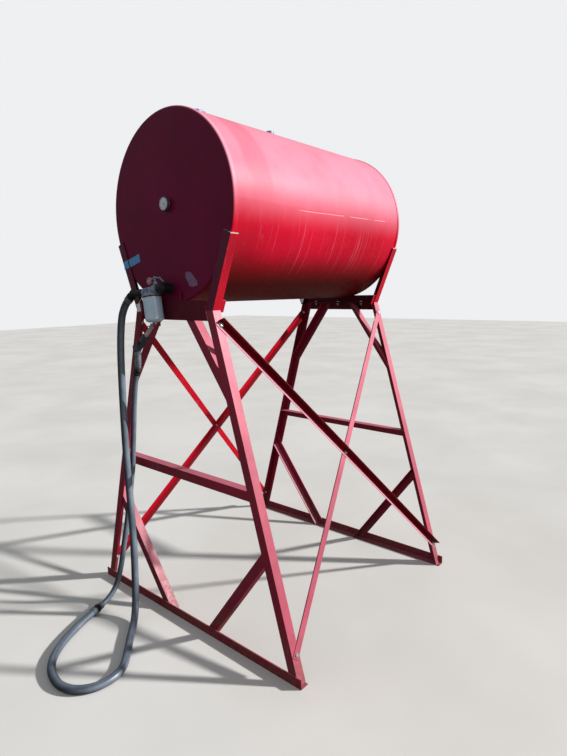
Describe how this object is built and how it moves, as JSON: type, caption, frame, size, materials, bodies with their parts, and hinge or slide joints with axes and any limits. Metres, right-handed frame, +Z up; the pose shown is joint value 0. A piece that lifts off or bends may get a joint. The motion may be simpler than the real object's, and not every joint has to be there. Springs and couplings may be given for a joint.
{
  "type": "overhead fuel storage tank",
  "caption": "Red flat-ended steel fuel tank lying on a tall splayed angle-iron stand, with a spin-on filter, hoses and a nozzle at one end.",
  "frame": {"origin": "middle of the underside of the front base rail, on the ground", "axes": "+X to the right of someone who faces the front head, +Y back along the tank, +Z up"},
  "size_m": [1.686, 2.293, 2.8254],
  "materials": {
    "tank_red_paint": "glossy, scuffed",
    "stand_red_paint": "glossy, weathered",
    "black_iron": "satin",
    "cast_grey": "dull cast",
    "gasket_rubber": "matte",
    "canister_white": "gloss",
    "hose_rubber": "satin, dusty",
    "bare_metal": "dull",
    "tag_card": "matte"
  },
  "bodies": {
    "root": {"tank_shell": "tank_red_paint", "front_head": "tank_red_paint", "rear_head": "tank_red_paint", "fill_neck": "tank_red_paint", "fill_cap": "tank_red_paint", "vent_cap": "tank_red_paint", "level_gauge": "black_iron", "outlet_bung": "tank_red_paint", "front_right_leg": "stand_red_paint", "front_left_leg": "stand_red_paint", "rear_right_leg": "stand_red_paint", "rear_left_leg": "stand_red_paint", "front_right_arm": "stand_red_paint", "front_left_arm": "stand_red_paint", "rear_right_arm": "stand_red_paint", "rear_left_arm": "stand_red_paint", "front_cradle_rail": "stand_red_paint", "rear_cradle_rail": "stand_red_paint", "front_top_rail": "stand_red_paint", "rear_top_rail": "stand_red_paint", "front_mid_rail": "stand_red_paint", "rear_mid_rail": "stand_red_paint", "front_base_rail": "stand_red_paint", "rear_base_rail": "stand_red_paint", "front_upper_knees": "stand_red_paint", "rear_upper_knees": "stand_red_paint", "front_lower_knees": "stand_red_paint", "rear_lower_knees": "stand_red_paint", "right_outer_brace": "stand_red_paint", "right_inner_brace": "stand_red_paint", "left_outer_brace": "stand_red_paint", "left_inner_brace": "stand_red_paint", "outlet_elbow": "black_iron", "shutoff_valve": "black_iron", "filter_head": "cast_grey", "filter_gasket": "gasket_rubber", "filter_canister": "canister_white", "hose_fitting": "black_iron", "fuel_hose": "hose_rubber", "hose_coupling": "bare_metal", "nozzle_hose": "hose_rubber", "nozzle_body": "cast_grey", "nozzle_spout": "bare_metal", "nozzle_hanger": "stand_red_paint", "hang_tag": "tag_card"}
  },
  "joints": []
}
